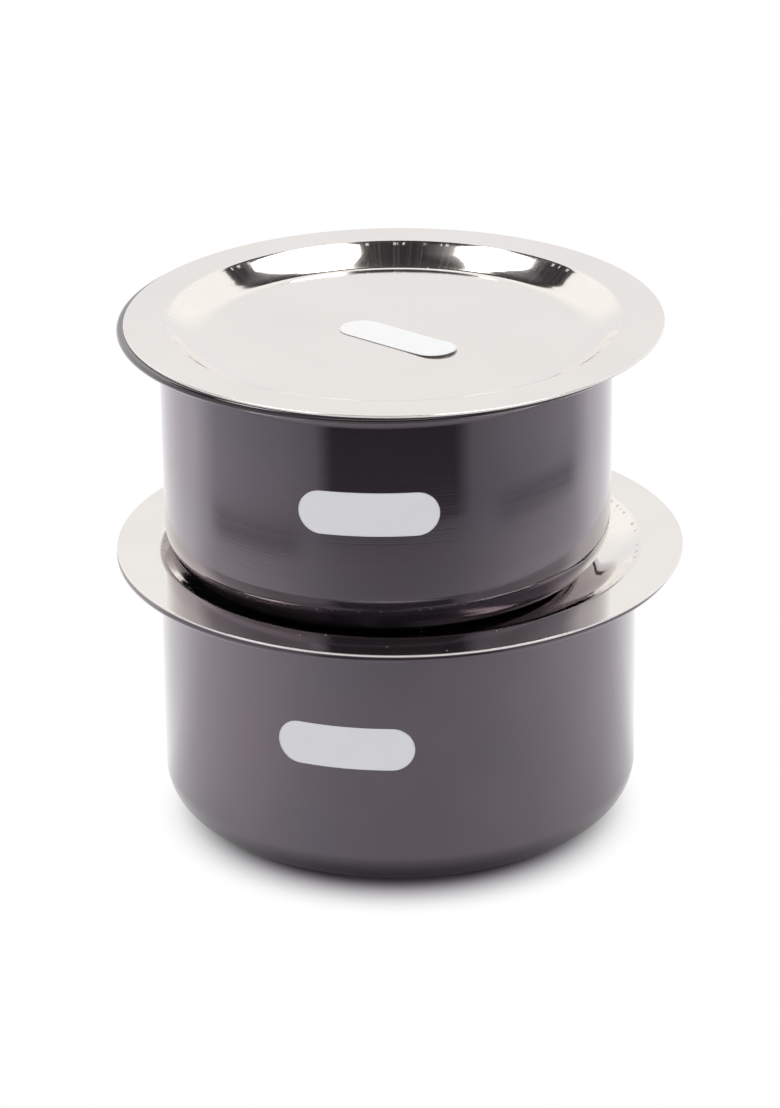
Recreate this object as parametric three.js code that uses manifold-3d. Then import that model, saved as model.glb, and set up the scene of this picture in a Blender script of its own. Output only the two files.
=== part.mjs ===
// Two lidded cooking pots stacked one on the other. Millimetres, +Z up, front towards -Y.
// The origin is the centre of the lower pot's base, on the surface that it stands on.
// Each pot is one drawn sheet with an out-turned rim. Each lid is one pressed sheet with a sunk well,
// which drops into the pot's mouth and takes the foot of the next smaller pot.
import * as THREE from 'three';
import * as BufferGeometryUtils from 'three/addons/utils/BufferGeometryUtils.js';
import Module from 'manifold-3d';

const wasm = await Module();
wasm.setup();

// Pots: radii are to the outside of the wall, heights from the base to the top of the rim
const LOWER_POT_RADIUS = 85.0;
const LOWER_POT_HEIGHT = 97.1;
const LOWER_POT_CORNER = 15.0;
const LOWER_RIM_WIDTH = 15.4;
const POT_RADIUS_STEP = 5.5;
const UPPER_POT_HEIGHT = 89.8;
const UPPER_POT_CORNER = 17.0;
const UPPER_RIM_WIDTH = 14.8;
const POT_WALL = 2.5;
const POT_FLOOR = 3.0;
const MOUTH_BEND = 10.0;

// Lids: the well is sized from the mouth of the pot that the lid closes
const LID_SHEET = 0.8;
const LID_OVERHANG = 0.5;
const LID_WELL_DEPTH = 6.2;
const LID_WELL_SLOPE_DEG = 36.0;
const LID_SHOULDER_BEND = 3.0;
const LID_FOOT_BEND = 16.0;
const LID_PLAY = 3.5;

// How the stack stands: sideways places of its pieces
const LOWER_LID_SHIFT = 0.7;
const UPPER_POT_SHIFT = -3.6;
const UPPER_LID_PLAY_LEFT = 0.6;

// Stickers: length along the wall, drop from the rim to the sticker's middle, turn from the front
const LABEL_LENGTH = 49.0;
const LABEL_WIDTH = 15.8;
const LABEL_THICKNESS = 0.25;
const LABEL_GAP = 0.3;
const LOWER_LABEL_DROP = 41.9;
const LOWER_LABEL_TURN_DEG = -13.1;
const UPPER_LABEL_DROP = 41.0;
const UPPER_LABEL_TURN_DEG = -4.7;
const LID_LABEL_TURN_DEG = -40.4;
const LID_LABEL_X = 1.3;
const LID_LABEL_Y = -5.3;

// Facets
const TURN_SEGMENTS = 64;
const POT_ARC_DIVISIONS = 3;
const LID_ARC_DIVISIONS = 1.5;
const LABEL_END_SEGMENTS = 8;

const UPPER_POT_RADIUS = LOWER_POT_RADIUS - POT_RADIUS_STEP;
const LID_LABEL_REACH = Math.hypot(LID_LABEL_X, LID_LABEL_Y) + LABEL_LENGTH / 2;
const QUARTER_TURN = Math.PI / 2;
const WELL_SLOPE = THREE.MathUtils.degToRad(LID_WELL_SLOPE_DEG);
const BEND_TANGENT = Math.tan(WELL_SLOPE / 2);

// Finishes
const anodised = new THREE.MeshStandardMaterial({ color: 0x4b464c, roughness: 0.35, metalness: 0.6 });
const polishedSteel = new THREE.MeshStandardMaterial({ color: 0xd8d6d2, roughness: 0.12, metalness: 1.0 });
const labelPaper = new THREE.MeshStandardMaterial({ color: 0xf4f4f1, roughness: 0.5, metalness: 0.0 });

// A profile of radius and height, turned about +Z
function turned(profile) {
  const geometry = new THREE.LatheGeometry(profile, TURN_SEGMENTS);
  geometry.rotateX(QUARTER_TURN);
  return geometry;
}

// Section of a pot from the middle of its base, up the outside, round the rim and down the inside
function potProfile(radius, height, corner, rimWidth) {
  const inside = radius - POT_WALL;
  const innerCorner = corner - POT_WALL;
  const outerBend = MOUTH_BEND - POT_WALL;
  const lip = POT_WALL / 2;
  const lipCentre = radius + rimWidth - lip;
  const section = new THREE.Path();
  section.moveTo(0, 0);
  section.lineTo(radius - corner, 0);
  section.absarc(radius - corner, corner, corner, -QUARTER_TURN, 0, false);
  section.absarc(radius + outerBend, height - MOUTH_BEND, outerBend, Math.PI, QUARTER_TURN, true);
  section.absarc(lipCentre, height - lip, lip, -QUARTER_TURN, QUARTER_TURN, false);
  section.absarc(inside + MOUTH_BEND, height - MOUTH_BEND, MOUTH_BEND, QUARTER_TURN, Math.PI, false);
  section.absarc(inside - innerCorner, POT_FLOOR + innerCorner, innerCorner, 0, -QUARTER_TURN, true);
  section.lineTo(0, POT_FLOOR);
  return section.getPoints(POT_ARC_DIVISIONS);
}

// Section of a lid from the middle of its well's underside, out to the edge and back over the top.
// Height 0 is the rim that the flange rests on. The well's wall leaves the flange by a tight bend, clears the
// bend of the mouth by the lid's play, and runs into the floor by a wide bend, as in a dish.
// On the well's floor, the seat for the next pot's foot begins where the sticker's reach ends.
function lidProfile(potRadius, rimWidth) {
  const edge = potRadius + rimWidth + LID_OVERHANG;
  const slopeTop = potRadius - POT_WALL + MOUTH_BEND * (1 - BEND_TANGENT) - LID_PLAY;
  const slopeFoot = slopeTop - LID_WELL_DEPTH / Math.tan(WELL_SLOPE);
  const shoulderTop = LID_SHOULDER_BEND + LID_SHEET;
  const footUnder = LID_FOOT_BEND + LID_SHEET;
  const shoulder = slopeTop + LID_SHOULDER_BEND * BEND_TANGENT;
  const foot = slopeFoot - footUnder * BEND_TANGENT;
  const footHeight = footUnder - LID_WELL_DEPTH;
  const shoulderTurn = QUARTER_TURN + WELL_SLOPE;
  const footTurn = WELL_SLOPE - QUARTER_TURN;
  const section = new THREE.Path();
  section.moveTo(0, -LID_WELL_DEPTH);
  section.lineTo(foot, -LID_WELL_DEPTH);
  section.absarc(foot, footHeight, footUnder, -QUARTER_TURN, footTurn, false);
  section.absarc(shoulder, -LID_SHOULDER_BEND, LID_SHOULDER_BEND, shoulderTurn, QUARTER_TURN, true);
  section.lineTo(edge, 0);
  section.lineTo(edge, LID_SHEET);
  section.absarc(shoulder, -LID_SHOULDER_BEND, shoulderTop, QUARTER_TURN, shoulderTurn, false);
  section.absarc(foot, footHeight, LID_FOOT_BEND, footTurn, -QUARTER_TURN, true);
  section.lineTo(LID_LABEL_REACH, LID_SHEET - LID_WELL_DEPTH);
  section.lineTo(0, LID_SHEET - LID_WELL_DEPTH);
  return section.getPoints(LID_ARC_DIVISIONS);
}

// Flat plate with round ends, centred on the origin and standing on z = 0
function labelPlate(length, thickness) {
  const end = LABEL_WIDTH / 2;
  const reach = length / 2 - end;
  const outline = new THREE.Shape();
  outline.absarc(reach, 0, end, -QUARTER_TURN, QUARTER_TURN, false);
  outline.absarc(-reach, 0, end, QUARTER_TURN, 3 * QUARTER_TURN, false);
  outline.closePath();
  const options = { depth: thickness, bevelEnabled: false, curveSegments: LABEL_END_SEGMENTS };
  return new THREE.ExtrudeGeometry(outline, options);
}

// Closed geometry to a solid that can be cut, and back
function toSolid(geometry) {
  const bare = geometry.clone();
  bare.deleteAttribute('normal');
  bare.deleteAttribute('uv');
  const merged = BufferGeometryUtils.mergeVertices(bare);
  const vertProperties = merged.attributes.position.array;
  const triVerts = new Uint32Array(merged.index.array);
  return new wasm.Manifold(new wasm.Mesh({ numProp: 3, vertProperties, triVerts }));
}

function fromSolid(solid) {
  const mesh = solid.getMesh();
  const geometry = new THREE.BufferGeometry();
  geometry.setAttribute('position', new THREE.BufferAttribute(mesh.vertProperties, mesh.numProp));
  geometry.setIndex(new THREE.BufferAttribute(mesh.triVerts, 1));
  geometry.computeVertexNormals();
  return geometry;
}

// Sticker bent round a wall: a thin ring round the pot, kept where a round-ended bar crosses it
function wallLabel(potRadius, turnDeg) {
  const inside = potRadius + LABEL_GAP;
  const outside = inside + LABEL_THICKNESS;
  const chord = 2 * inside * Math.sin(LABEL_LENGTH / (2 * inside));
  const ring = [
    new THREE.Vector2(inside, -LABEL_WIDTH),
    new THREE.Vector2(outside, -LABEL_WIDTH),
    new THREE.Vector2(outside, LABEL_WIDTH),
    new THREE.Vector2(inside, LABEL_WIDTH),
    new THREE.Vector2(inside, -LABEL_WIDTH),
  ];
  const bar = labelPlate(chord, outside + LABEL_WIDTH);
  bar.rotateX(QUARTER_TURN);
  bar.rotateZ(THREE.MathUtils.degToRad(turnDeg));
  return fromSolid(toSolid(turned(ring)).intersect(toSolid(bar)));
}

function piece(name, geometry, material) {
  const mesh = new THREE.Mesh(geometry, material);
  mesh.name = name;
  return mesh;
}

// Lower pot with the sticker on its wall
const stack = new THREE.Group();
const lowerPot = potProfile(LOWER_POT_RADIUS, LOWER_POT_HEIGHT, LOWER_POT_CORNER, LOWER_RIM_WIDTH);
stack.add(piece('lower_pot', turned(lowerPot), anodised));
const lowerPotLabel = piece('lower_pot_label', wallLabel(LOWER_POT_RADIUS, LOWER_LABEL_TURN_DEG), labelPaper);
lowerPotLabel.position.z = LOWER_POT_HEIGHT - LOWER_LABEL_DROP;
stack.add(lowerPotLabel);

// Lower lid, resting on the lower pot's rim
const lowerLid = piece('lower_lid', turned(lidProfile(LOWER_POT_RADIUS, LOWER_RIM_WIDTH)), polishedSteel);
lowerLid.position.set(LOWER_LID_SHIFT, 0, LOWER_POT_HEIGHT);
stack.add(lowerLid);

// Upper pot, standing on the floor of the lower lid's well, with the sticker on its wall
const upperGroup = new THREE.Group();
upperGroup.position.set(UPPER_POT_SHIFT, 0, LOWER_POT_HEIGHT + LID_SHEET - LID_WELL_DEPTH);
stack.add(upperGroup);
const upperPot = potProfile(UPPER_POT_RADIUS, UPPER_POT_HEIGHT, UPPER_POT_CORNER, UPPER_RIM_WIDTH);
upperGroup.add(piece('upper_pot', turned(upperPot), anodised));
const upperPotLabel = piece('upper_pot_label', wallLabel(UPPER_POT_RADIUS, UPPER_LABEL_TURN_DEG), labelPaper);
upperPotLabel.position.z = UPPER_POT_HEIGHT - UPPER_LABEL_DROP;
upperGroup.add(upperPotLabel);

// Upper lid, resting on the upper pot's rim and pushed aside by most of its play
const upperLidGroup = new THREE.Group();
upperLidGroup.position.set(LID_PLAY - UPPER_LID_PLAY_LEFT, 0, UPPER_POT_HEIGHT);
upperGroup.add(upperLidGroup);
upperLidGroup.add(piece('upper_lid', turned(lidProfile(UPPER_POT_RADIUS, UPPER_RIM_WIDTH)), polishedSteel));

// Sticker on the floor of the upper lid's well
const upperLidLabel = piece('upper_lid_label', labelPlate(LABEL_LENGTH, LABEL_THICKNESS), labelPaper);
upperLidLabel.rotation.z = THREE.MathUtils.degToRad(LID_LABEL_TURN_DEG);
upperLidLabel.position.set(LID_LABEL_X, LID_LABEL_Y, LID_SHEET - LID_WELL_DEPTH);
upperLidGroup.add(upperLidLabel);

export default stack;
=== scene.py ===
import math

import bmesh
import bpy
from mathutils import Matrix, Vector


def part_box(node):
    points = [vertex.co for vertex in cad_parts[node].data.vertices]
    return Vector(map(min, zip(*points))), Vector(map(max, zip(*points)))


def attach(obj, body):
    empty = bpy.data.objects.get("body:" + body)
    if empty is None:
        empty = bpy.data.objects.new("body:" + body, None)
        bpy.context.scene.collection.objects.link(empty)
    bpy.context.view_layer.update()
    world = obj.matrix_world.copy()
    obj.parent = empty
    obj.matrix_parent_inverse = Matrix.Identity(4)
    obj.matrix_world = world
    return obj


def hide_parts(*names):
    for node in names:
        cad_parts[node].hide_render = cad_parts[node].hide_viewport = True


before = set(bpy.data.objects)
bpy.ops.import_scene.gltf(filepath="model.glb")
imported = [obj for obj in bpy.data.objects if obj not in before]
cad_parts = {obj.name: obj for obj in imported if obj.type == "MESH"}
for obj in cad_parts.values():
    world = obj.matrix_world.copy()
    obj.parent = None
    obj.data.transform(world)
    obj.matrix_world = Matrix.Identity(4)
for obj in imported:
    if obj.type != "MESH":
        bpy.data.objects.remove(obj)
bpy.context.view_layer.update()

bl_info = {
    "name": "Stacked Cooking Pots",
    "version": (1, 0, 0),
    "blender": (4, 5, 0),
    "location": "View3D > Sidebar > Pots",
    "description": "Turns two anodised pots with polished lids and stickers, and sets a studio round them",
    "category": "Object",
}

QUARTER_TURN = math.pi / 2
TURN_STEPS = 192
ARC_STEPS = 14
EDGE_SUPPORT = 0.0004
MERGE_DISTANCE = 1e-6
WHITE = (1, 1, 1)

# Bands of a finish, as distances in from the rim, the lid's edge and the well's shoulder; the band in from
# the rim holds painted shade under the lid's edge
LIP_SHADE_FADE = (0.0030, 0.0018)
CUT_EDGE = (0.0002, 0.0001)
WORN_RING = (0.0030, 0.0012)


def box_centre(node):
    low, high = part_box(node)
    return (low + high) / 2


def box_size(node):
    low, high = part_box(node)
    return high - low


# Sizes, colours and studio places that a user would change
class PotSizes(bpy.types.PropertyGroup):
    """Sheet thicknesses, bends and rim widths of the pots"""
    wall: bpy.props.FloatProperty(
        name="Wall", description="Thickness of the wall and the rim", default=0.0025, unit="LENGTH")
    floor: bpy.props.FloatProperty(
        name="Floor", description="Thickness of the base", default=0.003, unit="LENGTH")
    mouth_bend: bpy.props.FloatProperty(
        name="Mouth bend", description="Inside radius where the wall turns into the rim",
        default=0.010, unit="LENGTH")
    lower_corner: bpy.props.FloatProperty(
        name="Lower corner", description="Outside radius of the lower pot's bottom corner",
        default=0.015, unit="LENGTH")
    upper_corner: bpy.props.FloatProperty(
        name="Upper corner", description="Outside radius of the upper pot's bottom corner",
        default=0.017, unit="LENGTH")
    lower_rim: bpy.props.FloatProperty(
        name="Lower rim", description="Width of the lower pot's rim outside its wall",
        default=0.0154, unit="LENGTH")
    upper_rim: bpy.props.FloatProperty(
        name="Upper rim", description="Width of the upper pot's rim outside its wall",
        default=0.0148, unit="LENGTH")


class LidSizes(bpy.types.PropertyGroup):
    """Sheet, bends and well of the lids"""
    sheet: bpy.props.FloatProperty(
        name="Sheet", description="Thickness of the pressed sheet", default=0.0008, unit="LENGTH")
    edge_round: bpy.props.FloatProperty(
        name="Edge round", description="Radius that breaks the sheet's cut edge",
        default=0.00035, unit="LENGTH")
    bend: bpy.props.FloatProperty(
        name="Bend", description="Inside radius of the bend at the well's shoulder",
        default=0.003, unit="LENGTH")
    foot_bend: bpy.props.FloatProperty(
        name="Foot bend", description="Inside radius of the bend at the well's foot",
        default=0.016, unit="LENGTH")
    slope: bpy.props.FloatProperty(
        name="Slope", description="Slope of the well's wall", default=math.radians(36), subtype="ANGLE")
    play: bpy.props.FloatProperty(
        name="Play", description="How far the lid can shift on its pot", default=0.0035, unit="LENGTH")
    overhang: bpy.props.FloatProperty(
        name="Overhang", description="How far the lid's edge stands out over the rim",
        default=0.0005, unit="LENGTH")


class LabelSizes(bpy.types.PropertyGroup):
    """Sizes and turns of the stickers"""
    length: bpy.props.FloatProperty(
        name="Length", description="Length of a sticker along the surface", default=0.049, unit="LENGTH")
    width: bpy.props.FloatProperty(
        name="Width", description="Width of a sticker", default=box_size("lower_pot_label").z, unit="LENGTH")
    thickness: bpy.props.FloatProperty(
        name="Thickness", description="Thickness of the paper", default=0.00022, unit="LENGTH")
    glue: bpy.props.FloatProperty(
        name="Glue", description="Gap between the paper and what it sticks to",
        default=0.00006, unit="LENGTH")
    lower_turn: bpy.props.FloatProperty(
        name="Lower turn", description="Turn of the lower pot's sticker from the front",
        default=math.radians(-13.1), subtype="ANGLE")
    upper_turn: bpy.props.FloatProperty(
        name="Upper turn", description="Turn of the upper pot's sticker from the front",
        default=math.radians(-4.7), subtype="ANGLE")
    lid_turn: bpy.props.FloatProperty(
        name="Lid turn", description="Turn of the lid's sticker in plan",
        default=math.radians(-40.4), subtype="ANGLE")
    lid_lift: bpy.props.FloatProperty(
        name="Lid lift", description="How far the free end of the lid's sticker has come up",
        default=0.0006, unit="LENGTH")


class Finishes(bpy.types.PropertyGroup):
    """Colours of the surfaces"""
    anodised_dark: bpy.props.FloatVectorProperty(
        name="Anodised dark", description="Darker tone of the anodised pots", subtype="COLOR",
        size=3, default=(0.195, 0.165, 0.204))
    anodised_light: bpy.props.FloatVectorProperty(
        name="Anodised light", description="Lighter tone of the anodised pots", subtype="COLOR",
        size=3, default=(0.224, 0.179, 0.211))
    steel: bpy.props.FloatVectorProperty(
        name="Steel", description="Polished steel of the lids", subtype="COLOR",
        size=3, default=(0.95, 0.91, 0.883))
    paper: bpy.props.FloatVectorProperty(
        name="Paper", description="Coated paper of the stickers", subtype="COLOR",
        size=3, default=(0.90, 0.91, 0.92))
    table: bpy.props.FloatVectorProperty(
        name="Table", description="Pale table under the pots", subtype="COLOR",
        size=3, default=(0.84, 0.815, 0.855))
    # Lip tones are painted shade: how far each pot's lip darkens under its lid's edge
    lower_lip_shade: bpy.props.FloatProperty(
        name="Lower lip", description="Tone of the lower pot's lip against its wall", default=0.95)
    upper_lip_shade: bpy.props.FloatProperty(
        name="Upper lip", description="Tone of the upper pot's lip against its wall", default=0.4)


class StudioPlaces(bpy.types.PropertyGroup):
    """Camera, lamps and dark panels of the studio"""
    camera_place: bpy.props.FloatVectorProperty(
        name="Camera place", description="Where the camera stands", subtype="TRANSLATION", unit="LENGTH",
        size=3, default=(-0.002938, -1.54868, 0.75483))
    camera_tilt: bpy.props.FloatProperty(
        name="Camera tilt", description="How far the camera looks down", default=math.radians(23.168),
        subtype="ANGLE")
    camera_roll: bpy.props.FloatProperty(
        name="Camera roll", description="Roll of the camera about its view", default=math.radians(-0.644),
        subtype="ANGLE")
    camera_lens: bpy.props.FloatProperty(
        name="Camera lens", description="Focal length in millimetres on a 36 mm frame", default=153.0)
    dome_strength: bpy.props.FloatProperty(
        name="Dome strength", description="White surround as a light", default=0.78)
    softbox_radiance: bpy.props.FloatProperty(
        name="Softbox radiance", description="Brightness of the softboxes", default=3.4)
    ceiling_height: bpy.props.FloatProperty(
        name="Ceiling height", description="Height of the softboxes over the table", default=1.18,
        unit="LENGTH")
    # Painted shadow on the table before the lower pot: where it fades, and how far its middle lies before the
    # pot's axis
    painted_shadow_reach: bpy.props.FloatVectorProperty(
        name="Shadow reach", description="Where the table's shadow before the pot starts and ends to fade",
        unit="LENGTH", size=2, default=(0.0615, 0.0895))
    shadow_shift: bpy.props.FloatProperty(
        name="Shadow shift", description="How far the shadow's middle lies before the pot's axis",
        default=0.0140, unit="LENGTH")
    # Painted shade on the table's reflection: the level of its front
    painted_front_level: bpy.props.FloatProperty(
        name="Front level", description="Brightness of the table's front as the metal mirrors it",
        default=0.35)
    backdrop_level: bpy.props.FloatProperty(
        name="Backdrop level", default=0.845,
        description="Brightness of the surround straight behind, as the metal mirrors it")
    table_centre: bpy.props.FloatVectorProperty(
        name="Table centre", description="Middle of the round table", unit="LENGTH", size=2,
        default=(0.015, -0.008))
    table_radius: bpy.props.FloatProperty(
        name="Table radius", description="Radius of the round table's edge", default=0.383, unit="LENGTH")


# Bmesh helpers: a section grows from one vertex by straight runs and arcs, then turns about the axis
def run_to(bm, vert, place):
    """Extrudes the section's last vertex to a place, with support points near both ends"""
    start = vert.co.copy()
    end = Vector(place)
    span = end - start
    stops = [1.0]
    if span.length > 4 * EDGE_SUPPORT:
        share = EDGE_SUPPORT / span.length
        stops = [share, 1 - share, 1.0]
    for stop in stops:
        vert = bmesh.ops.extrude_vert_indiv(bm, verts=[vert])["verts"][0]
        vert.co = start + span * stop
    return vert


def arc_round(bm, vert, centre, angle):
    """Spins the section's last vertex round a centre; a positive angle goes from +X towards +Z"""
    spun = bmesh.ops.spin(
        bm, geom=[vert], cent=centre, axis=(0, -1, 0), angle=angle, steps=ARC_STEPS, use_duplicate=False)
    return next(item for item in spun["geom_last"] if isinstance(item, bmesh.types.BMVert))


def turn_section(bm, centre):
    """Turns the section about the vertical line through centre and closes it"""
    bmesh.ops.spin(
        bm, geom=bm.verts[:] + bm.edges[:], cent=centre, axis=(0, 0, 1), angle=math.tau,
        steps=TURN_STEPS, use_merge=True, use_duplicate=False)
    bmesh.ops.remove_doubles(bm, verts=bm.verts[:], dist=MERGE_DISTANCE)
    bmesh.ops.recalc_face_normals(bm, faces=bm.faces[:])


def mesh_object(name, bm, finish):
    mesh = bpy.data.meshes.new(name)
    bm.to_mesh(mesh)
    bm.free()
    mesh.materials.append(finish)
    made = bpy.data.objects.new(name, mesh)
    bpy.context.scene.collection.objects.link(made)
    return made


def add_piece(name, bm, finish, node, body):
    """Makes the object, which rides on its body and stands for its CAD node"""
    piece = mesh_object(name, bm, finish)
    piece.data.shade_smooth()
    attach(piece, body)
    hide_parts(node)


# Node helpers
def new_finish(name):
    finish = bpy.data.materials.new(name)
    finish.use_nodes = True
    return finish, finish.node_tree.nodes, finish.node_tree.links


def add_node(nodes, kind, **settings):
    node = nodes.new(kind)
    for key, value in settings.items():
        setattr(node, key, value)
    return node


def set_inputs(node, **values):
    for key, value in values.items():
        node.inputs[key.replace("_", " ")].default_value = value


def object_place(nodes):
    return add_node(nodes, "ShaderNodeTexCoord").outputs["Object"]


def split_place(nodes, links, place):
    """Outputs X, Y and Z of a place"""
    node = add_node(nodes, "ShaderNodeSeparateXYZ")
    links.new(place, node.inputs[0])
    return node.outputs


def math_node(nodes, links, operation, first, second=None, third=None):
    """A Math node with sockets or plain numbers on its inputs"""
    node = add_node(nodes, "ShaderNodeMath", operation=operation)
    for slot, value in enumerate((first, second, third)):
        if isinstance(value, bpy.types.NodeSocket):
            links.new(value, node.inputs[slot])
        elif value is not None:
            node.inputs[slot].default_value = value
    return node.outputs[0]


def multiply(nodes, links, first, *others):
    for other in others:
        first = math_node(nodes, links, "MULTIPLY", first, other)
    return first


def one_minus(nodes, links, value):
    return math_node(nodes, links, "SUBTRACT", 1.0, value)


def remap(nodes, links, value, low, high, start=0.0, end=1.0):
    """Maps start..end to low..high, and holds both ends"""
    node = add_node(nodes, "ShaderNodeMapRange")
    set_inputs(node, From_Min=start, From_Max=end, To_Min=low, To_Max=high)
    links.new(value, node.inputs["Value"])
    return node.outputs["Result"]


def smooth_rise(nodes, links, value, start, end):
    """Rises from 0 at start to 1 at end, with soft ends"""
    node = add_node(nodes, "ShaderNodeMapRange", interpolation_type="SMOOTHSTEP")
    set_inputs(node, From_Min=start, From_Max=end)
    links.new(value, node.inputs["Value"])
    return node.outputs["Result"]


def ramp(nodes, links, value, low, high, stops):
    """Colour by straight runs between stops, each a share of low..high and a colour"""
    node = add_node(nodes, "ShaderNodeValToRGB")
    elements = node.color_ramp.elements
    elements.remove(elements[1])
    elements[0].position, elements[0].color = stops[0][0], (*stops[0][1], 1)
    for place, colour in stops[1:]:
        elements.new(place).color = (*colour, 1)
    links.new(remap(nodes, links, value, 0.0, 1.0, start=low, end=high), node.inputs["Fac"])
    return node.outputs["Color"]


def grey(level):
    return (level, level, level)


def grey_ramp(nodes, links, value, low, high, stops):
    """Level by straight runs between stops, each a share of low..high and a level"""
    return ramp(nodes, links, value, low, high, [(share, grey(level)) for share, level in stops])


def shaded(colour, share):
    return [share * part for part in colour]


def scale_colour(nodes, links, colour, scale):
    node = add_node(nodes, "ShaderNodeVectorMath", operation="SCALE")
    links.new(colour, node.inputs[0])
    links.new(scale, node.inputs["Scale"])
    return node.outputs[0]


def mix_colours(nodes, links, factor, first, second):
    """Mixes two colours by a factor; each colour is a socket or three plain numbers"""
    node = add_node(nodes, "ShaderNodeMix", data_type="RGBA")
    links.new(factor, node.inputs["Factor"])
    for key, colour in (("A", first), ("B", second)):
        if isinstance(colour, bpy.types.NodeSocket):
            links.new(colour, node.inputs[key])
        else:
            node.inputs[key].default_value = (*colour, 1)
    return node.outputs["Result"]


def blend_surfaces(nodes, links, factor, first, second):
    """Mixes two shaders by a factor on the material's output"""
    blend = add_node(nodes, "ShaderNodeMixShader")
    links.new(factor, blend.inputs["Fac"])
    links.new(first.outputs[0], blend.inputs[1])
    links.new(second.outputs[0], blend.inputs[2])
    links.new(blend.outputs[0], nodes["Material Output"].inputs["Surface"])


def noise(nodes, links, vector, scale, detail, dimensions="3D"):
    node = add_node(nodes, "ShaderNodeTexNoise", noise_dimensions=dimensions)
    set_inputs(node, Scale=scale, Detail=detail)
    links.new(vector, node.inputs["W" if dimensions == "1D" else "Vector"])
    return node.outputs["Fac"]


def bump(nodes, links, height, strength, distance, normal=None):
    node = add_node(nodes, "ShaderNodeBump")
    set_inputs(node, Strength=strength, Distance=distance)
    links.new(height, node.inputs["Height"])
    if normal is not None:
        links.new(normal, node.inputs["Normal"])
    return node.outputs["Normal"]


def section_length(nodes, links, centre):
    """Place, distance from the axis, and that distance plus height, which grows all along a turned section"""
    place = object_place(nodes)
    shifted = add_node(nodes, "ShaderNodeVectorMath", operation="SUBTRACT")
    shifted.inputs[1].default_value = (centre.x, centre.y, 0)
    links.new(place, shifted.inputs[0])
    flat = add_node(nodes, "ShaderNodeVectorMath", operation="MULTIPLY")
    flat.inputs[1].default_value = (1, 1, 0)
    links.new(shifted.outputs[0], flat.inputs[0])
    length = add_node(nodes, "ShaderNodeVectorMath", operation="LENGTH")
    links.new(flat.outputs[0], length.inputs[0])
    radius = length.outputs["Value"]
    height = split_place(nodes, links, place)["Z"]
    return place, radius, math_node(nodes, links, "ADD", radius, height)


# Finishes of the pieces
def anodised_finish(name, centre, rim_radius, lip_shade, colours):
    """Hard anodised aluminium: dark oxide with a mineral gloss, mottling, turning marks, and painted shade
    that darkens the lip under the lid's edge
    """
    finish, nodes, links = new_finish(name)
    surface = nodes["Principled BSDF"]
    place, radius, along = section_length(nodes, links, centre)
    mottle = noise(nodes, links, place, scale=26.0, detail=3.0)
    tone = ramp(nodes, links, mottle, 0.0, 1.0, (
        (0.36, colours.anodised_dark), (0.64, colours.anodised_light)))
    # Painted shade: the colour darkens towards the rim's lip, under the lid's edge
    lip = remap(
        nodes, links, radius, low=1.0, high=lip_shade,
        start=rim_radius - LIP_SHADE_FADE[0], end=rim_radius - LIP_SHADE_FADE[1])
    links.new(scale_colour(nodes, links, tone, lip), surface.inputs["Base Color"])
    marks = noise(nodes, links, along, scale=1800.0, detail=3.0, dimensions="1D")
    grain = noise(nodes, links, place, scale=2600.0, detail=2.0)
    links.new(remap(nodes, links, marks, low=0.06, high=0.12), surface.inputs["Roughness"])
    turned = bump(nodes, links, marks, strength=0.22, distance=0.00006)
    grained = bump(nodes, links, grain, strength=0.06, distance=0.00004, normal=turned)
    links.new(grained, surface.inputs["Normal"])
    set_inputs(surface, Metallic=0.9, Coat_Weight=1.0, Coat_Roughness=0.03, Coat_IOR=1.8)
    return finish


def dust_specks(nodes, links, place):
    """Small matt specks in one cell of five"""
    cells = add_node(nodes, "ShaderNodeTexVoronoi")
    set_inputs(cells, Scale=240.0)
    links.new(place, cells.inputs["Vector"])
    speck = remap(nodes, links, cells.outputs["Distance"], low=0.75, high=0.0, start=0.05, end=0.10)
    number = add_node(nodes, "ShaderNodeSeparateColor")
    links.new(cells.outputs["Color"], number.inputs[0])
    chosen = math_node(nodes, links, "GREATER_THAN", number.outputs[0], 0.8)
    return multiply(nodes, links, speck, chosen)


def well_wear(nodes, links, place, radius, centre, well):
    """Draw marks down the well's wall, and worn flecks along its shoulder"""
    foot, shoulder = well
    offset = split_place(nodes, links, place)
    across = math_node(nodes, links, "SUBTRACT", offset["X"], centre.x)
    turn = math_node(nodes, links, "ARCTAN2", across, offset["Y"])
    streaks = noise(nodes, links, turn, scale=55.0, detail=4.0, dimensions="1D")
    drawn = grey_ramp(nodes, links, streaks, 0.0, 1.0, ((0.48, 0.0), (0.72, 0.05)))
    wall = grey_ramp(nodes, links, radius, foot, shoulder, (
        (0.0, 0.0), (0.15, 1.0), (0.9, 1.0), (1.0, 0.0)))
    spots = noise(nodes, links, turn, scale=30.0, detail=2.0, dimensions="1D")
    flecks = grey_ramp(nodes, links, spots, 0.0, 1.0, ((0.56, 0.0), (0.62, 0.7)))
    worn = grey_ramp(nodes, links, radius, shoulder - WORN_RING[0], shoulder - WORN_RING[1], (
        (0.1, 0.0), (0.4, 1.0), (0.6, 1.0), (0.9, 0.0)))
    return multiply(nodes, links, drawn, wall), multiply(nodes, links, flecks, worn)


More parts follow.
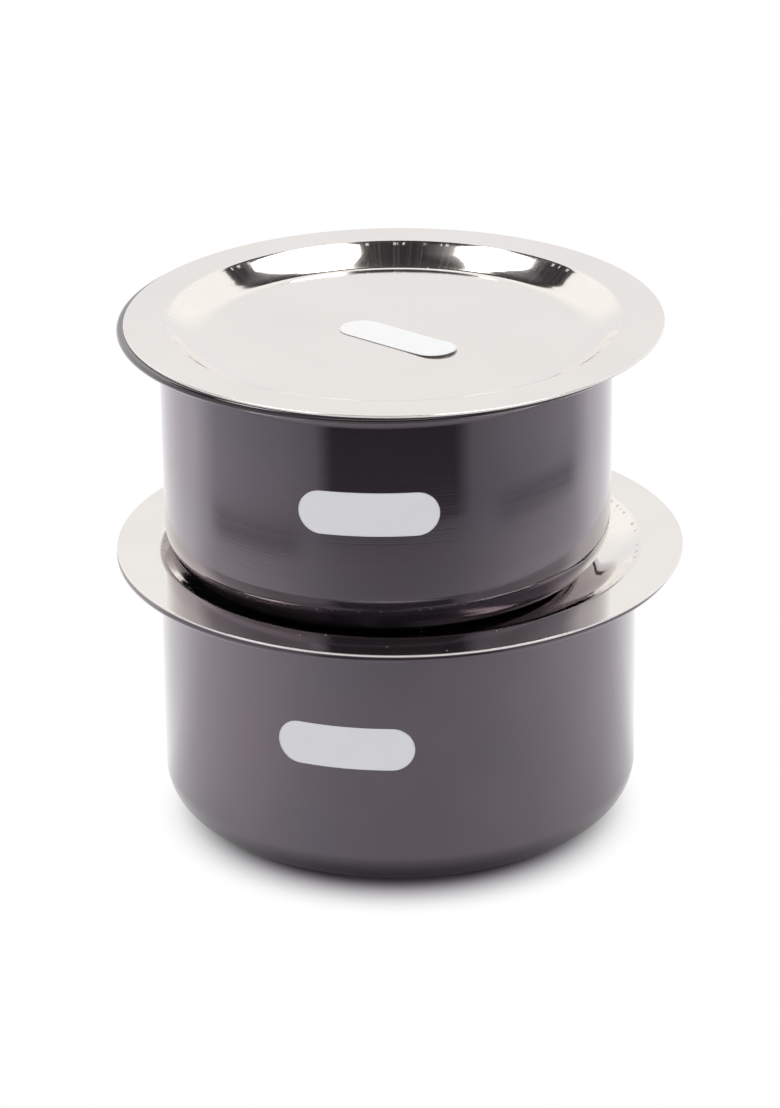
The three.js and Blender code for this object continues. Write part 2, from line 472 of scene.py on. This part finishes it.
def steel_finish(name, centre, well, edge, colours):
    """Polished stainless sheet: near mirror, with fine lines, soft dents, dust, wear and a matt cut edge"""
    finish, nodes, links = new_finish(name)
    surface = nodes["Principled BSDF"]
    place, radius, along = section_length(nodes, links, centre)
    dents = noise(nodes, links, place, scale=22.0, detail=1.0)
    tone = ramp(nodes, links, dents, 0.0, 1.0, ((0.3, shaded(colours.steel, 0.965)), (0.7, colours.steel)))
    links.new(tone, surface.inputs["Base Color"])
    cut = remap(nodes, links, radius, low=0.0, high=0.9, start=edge - CUT_EDGE[0], end=edge - CUT_EDGE[1])
    matt = dust_specks(nodes, links, place)
    for layer in (cut, *well_wear(nodes, links, place, radius, centre, well)):
        matt = math_node(nodes, links, "MAXIMUM", matt, layer)
    links.new(one_minus(nodes, links, matt), surface.inputs["Metallic"])
    cloud = noise(nodes, links, place, scale=60.0, detail=4.0)
    lines = noise(nodes, links, along, scale=2400.0, detail=2.0, dimensions="1D")
    links.new(remap(nodes, links, cloud, low=0.04, high=0.10), surface.inputs["Roughness"])
    sheet = bump(nodes, links, dents, strength=0.25, distance=0.0004)
    lined = bump(nodes, links, lines, strength=0.04, distance=0.00003, normal=sheet)
    links.new(lined, surface.inputs["Normal"])
    return finish


def paper_finish(name, colours):
    """Coated white paper with fine fibre and a faint cloudiness"""
    finish, nodes, links = new_finish(name)
    surface = nodes["Principled BSDF"]
    place = object_place(nodes)
    cloud = noise(nodes, links, place, scale=160.0, detail=3.0)
    tone = mix_colours(nodes, links, cloud, shaded(colours.paper, 0.97), colours.paper)
    links.new(tone, surface.inputs["Base Color"])
    fibre = noise(nodes, links, place, scale=3000.0, detail=3.0)
    links.new(remap(nodes, links, fibre, low=0.34, high=0.46), surface.inputs["Roughness"])
    links.new(bump(nodes, links, fibre, strength=0.08, distance=0.00005), surface.inputs["Normal"])
    return finish


class STACK_OT_make_pots(bpy.types.Operator):
    """Turns both anodised pots from their sections"""
    bl_idname = "stack.make_pots"
    bl_label = "Make Pots"

    def make_pot(self, scene, node, corner, rim_width, lip_shade):
        sizes = scene.pot_sizes
        low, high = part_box(node)
        centre = (low + high) / 2
        foot = Vector((centre.x, centre.y, low.z))
        height = high.z - low.z
        radius = (high.x - low.x) / 2 - rim_width
        inside = radius - sizes.wall
        inner_corner = corner - sizes.wall
        outer_bend = sizes.mouth_bend - sizes.wall
        bend_height = height - sizes.mouth_bend
        lip = sizes.wall / 2
        lip_radius = radius + rim_width - lip

        def at(out, up):
            return foot + Vector((out, 0, up))

        bm = bmesh.new()
        vert = bm.verts.new(foot)
        vert = run_to(bm, vert, at(radius - corner, 0))
        vert = arc_round(bm, vert, at(radius - corner, corner), QUARTER_TURN)
        vert = run_to(bm, vert, at(radius, bend_height))
        vert = arc_round(bm, vert, at(radius + outer_bend, bend_height), -QUARTER_TURN)
        vert = run_to(bm, vert, at(lip_radius, height - sizes.wall))
        vert = arc_round(bm, vert, at(lip_radius, height - lip), 2 * QUARTER_TURN)
        vert = run_to(bm, vert, at(inside + sizes.mouth_bend, height))
        vert = arc_round(bm, vert, at(inside + sizes.mouth_bend, bend_height), QUARTER_TURN)
        vert = run_to(bm, vert, at(inside, sizes.floor + inner_corner))
        vert = arc_round(bm, vert, at(inside - inner_corner, sizes.floor + inner_corner), -QUARTER_TURN)
        run_to(bm, vert, at(0, sizes.floor))
        turn_section(bm, foot)
        finish = anodised_finish(node + "_anodised", foot, radius + rim_width, lip_shade, scene.finishes)
        add_piece(node + "_turned", bm, finish, node, node)

    def execute(self, context):
        scene = context.scene
        sizes, finishes = scene.pot_sizes, scene.finishes
        self.make_pot(scene, "lower_pot", sizes.lower_corner, sizes.lower_rim, finishes.lower_lip_shade)
        self.make_pot(scene, "upper_pot", sizes.upper_corner, sizes.upper_rim, finishes.upper_lip_shade)
        return {"FINISHED"}


class STACK_OT_make_lids(bpy.types.Operator):
    """Turns both pressed lids from their sections"""
    bl_idname = "stack.make_lids"
    bl_label = "Make Lids"

    def make_lid(self, scene, node, rim_width):
        pots, sizes = scene.pot_sizes, scene.lid_sizes
        low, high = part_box(node)
        centre = (low + high) / 2
        depth = high.z - low.z - sizes.sheet
        seat = Vector((centre.x, centre.y, high.z - sizes.sheet))
        edge = (high.x - low.x) / 2
        mouth = edge - sizes.overhang - rim_width - pots.wall
        tangent = math.tan(sizes.slope / 2)
        slope_top = mouth + pots.mouth_bend * (1 - tangent) - sizes.play
        slope_foot = slope_top - depth / math.tan(sizes.slope)
        foot_bend = sizes.foot_bend + sizes.sheet
        shoulder = slope_top + sizes.bend * tangent
        foot = slope_foot - foot_bend * tangent
        foot_height = foot_bend - depth
        round_edge = sizes.edge_round

        def at(out, up):
            return seat + Vector((out, 0, up))

        def on_arc(out, up, radius, angle):
            return at(out + radius * math.cos(angle), up + radius * math.sin(angle))

        shoulder_turn = QUARTER_TURN + sizes.slope
        foot_turn = sizes.slope - QUARTER_TURN
        bm = bmesh.new()
        vert = bm.verts.new(at(0, -depth))
        vert = run_to(bm, vert, at(foot, -depth))
        vert = arc_round(bm, vert, at(foot, foot_height), sizes.slope)
        vert = run_to(bm, vert, on_arc(shoulder, -sizes.bend, sizes.bend, shoulder_turn))
        vert = arc_round(bm, vert, at(shoulder, -sizes.bend), -sizes.slope)
        vert = run_to(bm, vert, at(edge - round_edge, 0))
        vert = arc_round(bm, vert, at(edge - round_edge, round_edge), QUARTER_TURN)
        vert = run_to(bm, vert, at(edge, sizes.sheet - round_edge))
        vert = arc_round(bm, vert, at(edge - round_edge, sizes.sheet - round_edge), QUARTER_TURN)
        vert = run_to(bm, vert, at(shoulder, sizes.sheet))
        vert = arc_round(bm, vert, at(shoulder, -sizes.bend), sizes.slope)
        vert = run_to(bm, vert, on_arc(foot, foot_height, sizes.foot_bend, foot_turn))
        vert = arc_round(bm, vert, at(foot, foot_height), -sizes.slope)
        run_to(bm, vert, at(0, sizes.sheet - depth))
        turn_section(bm, seat)
        finish = steel_finish(node + "_steel", seat, (foot, shoulder), edge, scene.finishes)
        add_piece(node + "_pressed", bm, finish, node, node)

    def execute(self, context):
        pots = context.scene.pot_sizes
        self.make_lid(context.scene, "lower_lid", pots.lower_rim)
        self.make_lid(context.scene, "upper_lid", pots.upper_rim)
        return {"FINISHED"}


class STACK_OT_make_labels(bpy.types.Operator):
    """Makes the round-ended stickers on the pots' walls and on the upper lid"""
    bl_idname = "stack.make_labels"
    bl_label = "Make Labels"

    long_steps = 48
    cross_steps = 16
    lift_start = 0.1

    def sticker_sheet(self, sizes):
        """Grid drawn in to round ends"""
        bm = bmesh.new()
        bmesh.ops.create_grid(bm, x_segments=self.long_steps, y_segments=self.cross_steps, size=1.0)
        end = sizes.width / 2
        for vert in bm.verts:
            across = end * math.sin(vert.co.y * QUARTER_TURN)
            reach = sizes.length / 2 - end + math.sqrt(max(end * end - across * across, 0))
            vert.co = (vert.co.x * reach, across, 0)
        return bm

    def add_thickness(self, bm, thickness):
        bmesh.ops.remove_doubles(bm, verts=bm.verts[:], dist=MERGE_DISTANCE)
        bmesh.ops.recalc_face_normals(bm, faces=bm.faces[:])
        bmesh.ops.solidify(bm, geom=bm.faces[:], thickness=thickness)

    def wall_label(self, scene, pot, rim_width, turn):
        sizes = scene.label_sizes
        node = pot + "_label"
        axis = box_centre(pot)
        radius = box_size(pot).x / 2 - rim_width + sizes.glue + sizes.thickness
        middle = box_centre(node).z
        bm = self.sticker_sheet(sizes)
        for vert in bm.verts:
            angle = turn + vert.co.x / radius
            across, ahead = radius * math.sin(angle), radius * math.cos(angle)
            vert.co = (axis.x + across, axis.y - ahead, middle + vert.co.y)
        self.finish_label(scene, bm, node, pot)

    def lid_label(self, scene):
        sizes = scene.label_sizes
        node = "upper_lid_label"
        low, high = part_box(node)
        middle = (low + high) / 2
        top = low.z + sizes.glue + sizes.thickness
        bm = self.sticker_sheet(sizes)
        for vert in bm.verts:
            share = max(vert.co.x / sizes.length - self.lift_start, 0) / (0.5 - self.lift_start)
            vert.co.z = sizes.lid_lift * share * share
        place = Matrix.Translation((middle.x, middle.y, top)) @ Matrix.Rotation(sizes.lid_turn, 4, "Z")
        bmesh.ops.transform(bm, matrix=place, verts=bm.verts[:])
        self.finish_label(scene, bm, node, "upper_lid")

    def finish_label(self, scene, bm, node, body):
        self.add_thickness(bm, scene.label_sizes.thickness)
        finish = paper_finish(node + "_paper", scene.finishes)
        add_piece(node + "_sticker", bm, finish, node, body)

    def execute(self, context):
        scene = context.scene
        sizes, pots = scene.label_sizes, scene.pot_sizes
        self.wall_label(scene, "lower_pot", pots.lower_rim, sizes.lower_turn)
        self.wall_label(scene, "upper_pot", pots.upper_rim, sizes.upper_turn)
        self.lid_label(scene)
        return {"FINISHED"}


class STACK_OT_set_stage(bpy.types.Operator):
    """Sets the pale table, the softboxes, the dark panels that the metal mirrors, and the camera"""
    bl_idname = "stack.set_stage"
    bl_label = "Set Stage"

    # Tones of the surround as the metal mirrors it
    warm_white = (1.0, 0.995, 0.955)
    dim_front = 0.25
    dim_side = 0.47

    # Table: half its width, its painted shadow tone and its tone past its round edge, and the lean of its
    # front
    table_half_width = 6.0
    painted_shadow_tone = (0.310, 0.270, 0.315)
    beyond_tone = (0.70, 0.695, 0.73)
    table_lean = 0.1
    # Levels of the painted reflection of the table: in its painted shadow, by its edge and behind; then how
    # far its painted shadow line and painted front shade darken it
    painted_shadow_level = 0.12
    edge_level = 0.86
    back_level = 1.2
    painted_edge_shadow = 0.55
    painted_front_shade = 0.24
    # Bands of the painted reflection of the table: two about its edge, the second for its painted shadow
    # line, and where painted shade dims its front
    beyond_band = (-0.10, 0.01)
    edge_shadow_band = (-0.03, 0.03)
    front_shade_band = (0.28, 0.34)
    # How the painted reflection of the table rises from its painted front shade, by the share of the way from
    # its front past its sides
    table_rises = ((0.0, 0.0), (0.14, 0.14), (0.28, 0.26), (0.47, 0.40), (0.71, 0.60), (1.0, 0.82))

    # Dark cloth over the softboxes; outlines are seen from above, right side first
    ceiling_tone = 0.035
    ceiling_lift = 0.05
    # Painted spill of light on the ceiling cloth: its lean and its band
    painted_spill_lean = 0.6
    painted_spill_band = (0.7, 1.2)
    middle_band = (0.0, 0.4)
    ceiling_outline = (
        (0.0, 1.68), (0.105, 1.60), (0.35, 1.09), (0.66, 0.77), (1.05, 0.56), (1.30, -0.30), (0.90, -1.30),
        (-0.90, -1.30), (-1.30, -0.10), (-1.10, 0.74), (-0.735, 0.945), (-0.38, 1.19), (-0.115, 1.62))
    softbox_white = (1.0, 0.985, 0.96)
    softbox_right = (
        (0.14, 0.0), (0.64, 0.0), (0.64, 0.42), (0.59, 0.45), (0.49, 0.49), (0.30, 0.67), (0.16, 0.91),
        (0.05, 1.33), (0.03, 1.30), (0.11, 0.31))
    softbox_left = (
        (-0.26, 0.0), (-0.25, 0.22), (-0.14, 0.77), (-0.055, 1.30), (-0.065, 1.34), (-0.16, 0.92),
        (-0.31, 0.64), (-0.56, 0.45), (-0.64, 0.42), (-0.64, 0.0))

    # Dark cloth in front: a strip on the table, a hung strip and a small flag, turned about the pots' axis
    front_tone = 0.034
    front_radius = 1.15
    front_start = math.radians(-40)
    front_span = math.radians(89)
    front_steps = 32
    front_middle = 0.048
    front_fade = (0.475, 0.668)
    strip_gap = 0.02
    strip_lift = 0.0006
    hung_foot = 0.72
    flag_radius = 0.30
    flag_heights = (0.088, 0.205)

    def seen_rays(self, nodes, links):
        """1 for mirrored and refracted rays, and 1 for those and the camera's"""
        path = add_node(nodes, "ShaderNodeLightPath")
        mirrored = math_node(
            nodes, links, "MAXIMUM", path.outputs["Is Glossy Ray"], path.outputs["Is Transmission Ray"])
        return mirrored, math_node(nodes, links, "MAXIMUM", path.outputs["Is Camera Ray"], mirrored)

    def white_surround(self, scene):
        """White to the camera; the metal mirrors it grey before and behind, dim to warm along its sides"""
        world = bpy.data.worlds.new("studio_surround")
        world.use_nodes = True
        nodes, links = world.node_tree.nodes, world.node_tree.links
        background = nodes["Background"]
        direction = split_place(nodes, links, add_node(nodes, "ShaderNodeTexCoord").outputs["Generated"])
        pale, dim, warm = grey(scene.studio.backdrop_level), grey(self.dim_front), self.warm_white
        graded = ramp(nodes, links, direction["Y"], -1.0, 1.0, (
            (0.06, pale), (0.12, dim), (0.30, dim), (0.58, grey(self.dim_side)),
            (0.70, warm), (0.925, warm), (0.972, pale)))
        mirrored, seen = self.seen_rays(nodes, links)
        links.new(mix_colours(nodes, links, mirrored, WHITE, graded), background.inputs["Color"])
        strength = remap(nodes, links, seen, scene.studio.dome_strength, 1.0)
        links.new(strength, background.inputs["Strength"])
        scene.world = world

    def flat_mesh(self, name, bm, finish):
        sheet = mesh_object(name, bm, finish)
        return sheet

    def distance_from(self, nodes, links, place, x, y):
        node = add_node(nodes, "ShaderNodeVectorMath", operation="DISTANCE")
        node.inputs[1].default_value = (x, y, 0)
        links.new(place, node.inputs[0])
        return node.outputs["Value"]

    def painted_table_reflection(self, studio, nodes, links, place, away):
        """Painted reflection of the table, a glow that only mirrored rays see: painted shade dims its front,
        it is paler behind, a painted shadow line runs along its round edge, and the painted shadow lies
        before the pot
        """
        split = split_place(nodes, links, place)
        radius = self.distance_from(nodes, links, place, 0, 0)
        leaning = math_node(nodes, links, "MULTIPLY_ADD", split["X"], -self.table_lean, split["Y"])
        facing = math_node(nodes, links, "DIVIDE", leaning, radius)
        front = studio.painted_front_level
        side = grey_ramp(nodes, links, facing, -1.0, 0.4, [
            (share, front + rise * (1 - front)) for share, rise in self.table_rises])
        to_edge = self.distance_from(nodes, links, place, *studio.table_centre)
        from_edge = math_node(nodes, links, "SUBTRACT", to_edge, studio.table_radius)
        near_edge = grey(self.edge_level)
        beyond = ramp(nodes, links, from_edge, *self.beyond_band, (
            (0.15, WHITE), (0.35, near_edge), (0.70, near_edge), (1.0, self.beyond_tone)))
        behind = grey_ramp(nodes, links, facing, 0.0, 0.4, ((0.2, 0.0), (0.9, 0.7)))
        outside = mix_colours(nodes, links, behind, beyond, grey(self.back_level))
        # Painted shadow line along the table's round edge
        edge_shadow_line = grey_ramp(nodes, links, from_edge, *self.edge_shadow_band, (
            (0.10, 0.0), (0.40, self.painted_edge_shadow), (0.60, self.painted_edge_shadow), (0.90, 0.0)))
        at_side = grey_ramp(nodes, links, facing, -1.0, 1.0, (
            (0.12, 0.0), (0.19, 1.0), (0.50, 1.0), (0.585, 0.0)))
        # Painted shade that dims the front of the table's reflection
        before = grey_ramp(nodes, links, facing, -1.0, -0.6, ((0.0, self.painted_front_shade), (1.0, 0.0)))
        outer = grey_ramp(nodes, links, radius, *self.front_shade_band, ((0.0, 0.0), (1.0, 1.0)))
        line = one_minus(nodes, links, multiply(nodes, links, edge_shadow_line, at_side))
        # Painted shadow before the pot, in the table's reflection
        shade = remap(nodes, links, away, self.painted_shadow_level, 1.0)
        front_shade_factor = one_minus(nodes, links, multiply(nodes, links, before, outer))
        return scale_colour(nodes, links, outside, multiply(nodes, links, side, line, shade, front_shade_factor))

    def table(self, scene):
        """Pale table: white where it is only background, and lit close to the pot, where a painted shadow
        darkens its colour and bounds where its own shadow shows
        """
        studio = scene.studio
        finish, nodes, links = new_finish("pale_table")
        surface = nodes["Principled BSDF"]
        set_inputs(surface, Roughness=0.9, Specular_IOR_Level=0.0)
        place = object_place(nodes)
        # Painted shadow: within this circle the colour darkens towards the pot, and only there does the
        # camera see the lit table
        from_shadow = self.distance_from(nodes, links, place, 0, -studio.shadow_shift)
        away = smooth_rise(nodes, links, from_shadow, *studio.painted_shadow_reach)
        tone = ramp(nodes, links, away, 0.0, 1.0, ((0.0, self.painted_shadow_tone), (0.8, scene.finishes.table)))
        links.new(tone, surface.inputs["Base Color"])
        mirrored, seen = self.seen_rays(nodes, links)
        # Mirrored rays see the painted reflection as a glow, not the lit table
        painted_reflection = self.painted_table_reflection(studio, nodes, links, place, away)
        glow = add_node(nodes, "ShaderNodeEmission")
        links.new(mix_colours(nodes, links, mirrored, WHITE, painted_reflection), glow.inputs["Color"])
        shown = math_node(nodes, links, "MAXIMUM", multiply(nodes, links, away, seen), mirrored)
        blend_surfaces(nodes, links, shown, surface, glow)
        bm = bmesh.new()
        bmesh.ops.create_grid(bm, x_segments=1, y_segments=1, size=self.table_half_width)
        self.flat_mesh("table", bm, finish)

    def mirror_only(self, sheet):
        """A panel that only mirrored rays meet"""
        sheet.visible_camera = False
        sheet.visible_diffuse = False
        sheet.visible_shadow = False
        sheet.visible_transmission = False
        sheet.visible_volume_scatter = False

    def cloth(self, name, level):
        """Dark matt cloth"""
        finish, nodes, links = new_finish(name)
        set_inputs(
            nodes["Principled BSDF"], Base_Color=(*grey(level), 1), Roughness=1.0, Specular_IOR_Level=0.0)
        return finish, nodes, links

    def overhead_sheet(self, name, outline, height, finish):
        """Flat sheet of the given outline, hung level over the table"""
        bm = bmesh.new()
        corners = [bm.verts.new((x, y, height)) for x, y in outline]
        for pair in zip(corners, corners[1:] + corners[:1]):
            bmesh.ops.contextual_create(bm, geom=pair)
        bmesh.ops.triangle_fill(bm, edges=bm.edges[:])
        return self.flat_mesh(name, bm, finish)

    def dark_ceiling(self, scene):
        """Dark cloth overhead, made paler by a painted spill of light from the softboxes"""
        finish, nodes, links = self.cloth("ceiling_cloth", self.ceiling_tone)
        split = split_place(nodes, links, object_place(nodes))
        out = math_node(nodes, links, "ABSOLUTE", split["X"])
        spread = math_node(nodes, links, "MULTIPLY_ADD", split["Y"], self.painted_spill_lean, out)
        # Painted spill of light from the softboxes, paler near them
        painted_spill = grey_ramp(nodes, links, spread, *self.painted_spill_band, ((0.1, 0.26), (0.6, 0.05)))
        off_middle = grey_ramp(nodes, links, out, *self.middle_band, ((0.3, 0.0), (0.8, 1.0)))
        tone = mix_colours(nodes, links, off_middle, grey(self.ceiling_tone), painted_spill)
        links.new(tone, nodes["Principled BSDF"].inputs["Base Color"])
        height = scene.studio.ceiling_height + self.ceiling_lift
        self.mirror_only(self.overhead_sheet("dark_ceiling", self.ceiling_outline, height, finish))

    def dark_front(self, scene):
        """Dark cloth in front, thin at its sides: on the table, hung from above, and a flag by the pots"""
        finish, nodes, links = self.cloth("front_cloth", self.front_tone)
        split = split_place(nodes, links, object_place(nodes))
        ahead = math_node(nodes, links, "MULTIPLY", split["Y"], -1.0)
        turn = math_node(nodes, links, "ARCTAN2", split["X"], ahead)
        from_middle = math_node(nodes, links, "SUBTRACT", turn, self.front_middle)
        off_middle = math_node(nodes, links, "ABSOLUTE", from_middle)
        thin = smooth_rise(nodes, links, off_middle, *self.front_fade)
        clear = add_node(nodes, "ShaderNodeBsdfTransparent")
        blend_surfaces(nodes, links, thin, nodes["Principled BSDF"], clear)
        flag_foot, flag_top = self.flag_heights
        hung_top = scene.studio.ceiling_height + self.ceiling_lift
        strip_start = scene.studio.table_radius + self.strip_gap
        strips = (
            ((strip_start, self.strip_lift), (self.front_radius, self.strip_lift)),
            ((self.front_radius, self.hung_foot), (self.front_radius, hung_top)),
            ((self.flag_radius, flag_foot), (self.flag_radius, flag_top)))
        bm = bmesh.new()
        for strip in strips:
            bmesh.ops.contextual_create(bm, geom=[bm.verts.new((0, -out, up)) for out, up in strip])
        bmesh.ops.rotate(
            bm, verts=bm.verts[:], cent=(0, 0, 0), matrix=Matrix.Rotation(self.front_start, 3, "Z"))
        bmesh.ops.spin(
            bm, geom=bm.verts[:] + bm.edges[:], cent=(0, 0, 0), axis=(0, 0, 1), angle=self.front_span,
            steps=self.front_steps, use_duplicate=False)
        self.mirror_only(self.flat_mesh("dark_front", bm, finish))

    def softboxes(self, scene):
        """Two bright sheets overhead, left and right of the dark middle"""
        finish, nodes, links = new_finish("softbox_cloth")
        glow = add_node(nodes, "ShaderNodeEmission")
        set_inputs(glow, Color=(*self.softbox_white, 1), Strength=scene.studio.softbox_radiance)
        links.new(glow.outputs[0], nodes["Material Output"].inputs["Surface"])
        for name, outline in (("softbox_right", self.softbox_right), ("softbox_left", self.softbox_left)):
            sheet = self.overhead_sheet(name, outline, scene.studio.ceiling_height, finish)
            sheet.visible_camera = False

    def camera(self, scene):
        studio = scene.studio
        lens = bpy.data.cameras.new("camera")
        lens.lens = studio.camera_lens
        eye = bpy.data.objects.new("camera", lens)
        tilt = Matrix.Rotation(QUARTER_TURN - studio.camera_tilt, 4, "X")
        roll = Matrix.Rotation(studio.camera_roll, 4, "Z")
        eye.matrix_world = Matrix.Translation(studio.camera_place) @ tilt @ roll
        scene.collection.objects.link(eye)
        scene.camera = eye

    def execute(self, context):
        scene = context.scene
        scene.view_settings.view_transform = "Standard"
        self.white_surround(scene)
        self.table(scene)
        self.dark_ceiling(scene)
        self.dark_front(scene)
        self.softboxes(scene)
        self.camera(scene)
        return {"FINISHED"}


class STACK_PT_panel(bpy.types.Panel):
    """Steps and sizes of the stacked pots"""
    bl_label = "Stacked Cooking Pots"
    bl_idname = "STACK_PT_panel"
    bl_space_type = "VIEW_3D"
    bl_region_type = "UI"
    bl_category = "Pots"

    def draw(self, context):
        layout = self.layout
        for operator in OPERATORS:
            layout.operator(operator.bl_idname)
        for name in SETTINGS:
            group = getattr(context.scene, name)
            section = layout.box()
            for field in group.bl_rna.properties:
                if field.identifier not in ("rna_type", "name"):
                    section.prop(group, field.identifier)


SETTINGS = {
    "pot_sizes": PotSizes,
    "lid_sizes": LidSizes,
    "label_sizes": LabelSizes,
    "finishes": Finishes,
    "studio": StudioPlaces,
}
OPERATORS = (STACK_OT_make_pots, STACK_OT_make_lids, STACK_OT_make_labels, STACK_OT_set_stage)


def register():
    for group in SETTINGS.values():
        bpy.utils.register_class(group)
    for name, group in SETTINGS.items():
        setattr(bpy.types.Scene, name, bpy.props.PointerProperty(type=group))
    for operator in OPERATORS:
        bpy.utils.register_class(operator)
    bpy.utils.register_class(STACK_PT_panel)


def unregister():
    bpy.utils.unregister_class(STACK_PT_panel)
    for operator in reversed(OPERATORS):
        bpy.utils.unregister_class(operator)
    for name in SETTINGS:
        delattr(bpy.types.Scene, name)
    for group in reversed(SETTINGS.values()):
        bpy.utils.unregister_class(group)


def main():
    register()
    bpy.ops.stack.set_stage()
    bpy.ops.stack.make_pots()
    bpy.ops.stack.make_lids()
    bpy.ops.stack.make_labels()


if __name__ == "__main__":
    main()
